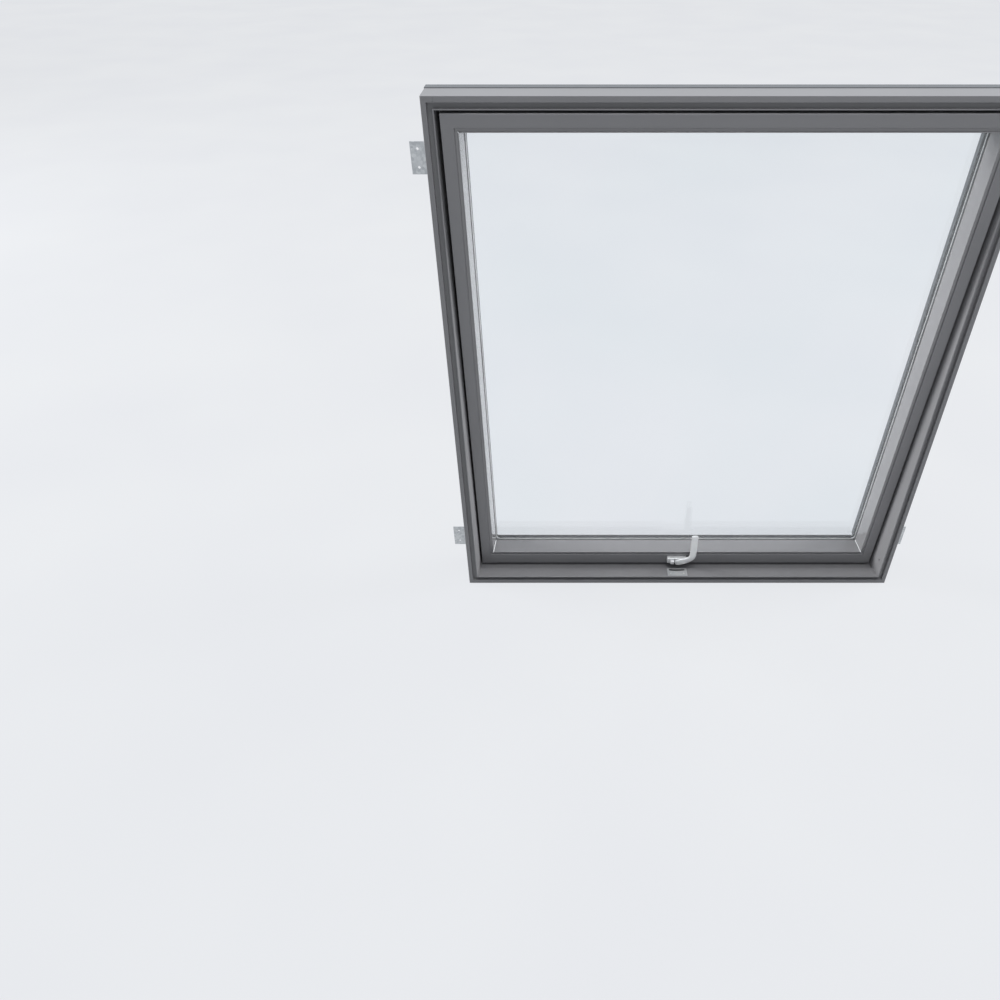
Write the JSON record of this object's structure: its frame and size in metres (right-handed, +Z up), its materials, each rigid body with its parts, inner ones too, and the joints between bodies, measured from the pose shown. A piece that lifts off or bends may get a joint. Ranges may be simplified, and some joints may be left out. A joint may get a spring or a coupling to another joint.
{
  "type": "roof window",
  "caption": "Centre-pivot roof window with a fixed frame, a glazed sash that turns on side pivots and a lever handle that locks it in a keeper on the sill.",
  "frame": {"origin": "centre of the window, in the plane where the mounting brackets rest on the battens", "axes": "+X along the sill, to the right as seen from the room, +Y outdoors, +Z up the slope"},
  "size_m": [1.43, 0.1593, 1.4024],
  "materials": {
    "frame_paint": "satin grey paint",
    "sash_paint": "satin grey paint",
    "bead_paint": "semi-gloss grey paint",
    "glass": "clear insulating glass",
    "spacer_aluminium": "mill finish",
    "edge_sealant": "matt black",
    "seal_rubber": "matt black",
    "cladding_aluminium": "lacquered dark grey",
    "hinge_steel": "zinc plated",
    "washer_plastic": "matt",
    "screw_steel": "zinc plated",
    "bracket_steel": "zinc plated",
    "handle_aluminium": "satin anodised",
    "lock_steel": "zinc plated",
    "keeper_aluminium": "satin anodised"
  },
  "bodies": {
    "frame": {"frame_left_jamb": "frame_paint", "frame_right_jamb": "frame_paint", "frame_sill": "frame_paint", "frame_head": "frame_paint", "frame_seal": "seal_rubber", "frame_cladding_right": "cladding_aluminium", "frame_cladding_top": "cladding_aluminium", "frame_cladding_left": "cladding_aluminium", "frame_cladding_bottom": "cladding_aluminium", "left_pivot_pin_plate": "hinge_steel", "right_pivot_pin_plate": "hinge_steel", "left_friction_washer": "washer_plastic", "right_friction_washer": "washer_plastic", "frame_pivot_screws": "screw_steel", "keeper_screws": "screw_steel", "bracket_screws": "screw_steel", "bracket_lower_left": "bracket_steel", "bracket_lower_right": "bracket_steel", "bracket_upper_left": "bracket_steel", "bracket_upper_right": "bracket_steel", "keeper_plate": "keeper_aluminium"},
    "sash": {"sash_left_stile": "sash_paint", "sash_right_stile": "sash_paint", "sash_bottom_rail": "sash_paint", "sash_top_rail": "sash_paint", "glazing_bead_right": "bead_paint", "glazing_bead_top": "bead_paint", "glazing_bead_left": "bead_paint", "glazing_bead_bottom": "bead_paint", "inner_pane": "glass", "outer_pane": "glass", "spacer_bar": "spacer_aluminium", "glass_edge_seal": "edge_sealant", "inner_glazing_gasket": "seal_rubber", "outer_glazing_gasket": "seal_rubber", "sash_cover_right": "cladding_aluminium", "sash_cover_top": "cladding_aluminium", "sash_cover_left": "cladding_aluminium", "sash_cover_bottom": "cladding_aluminium", "left_pivot_bush_plate": "hinge_steel", "right_pivot_bush_plate": "hinge_steel", "sash_pivot_screws": "screw_steel", "handle_base": "handle_aluminium"},
    "lever": {"lever_handle": "handle_aluminium", "lever_spindle": "lock_steel", "locking_tongue": "lock_steel"}
  },
  "joints": [
    {"name": "sash_pivot", "type": "hinge", "parent": "frame", "child": "sash", "pos_m": [0, 0.005, 0], "axis": [1, 0, 0], "range_deg": [-2.8, 177.2]},
    {"name": "lever_turn", "type": "hinge", "parent": "sash", "child": "lever", "pos_m": [0.005, -0.01823, -0.65091], "axis": [0, -0.9988, -0.0488], "range_deg": [0, 90]}
  ]
}
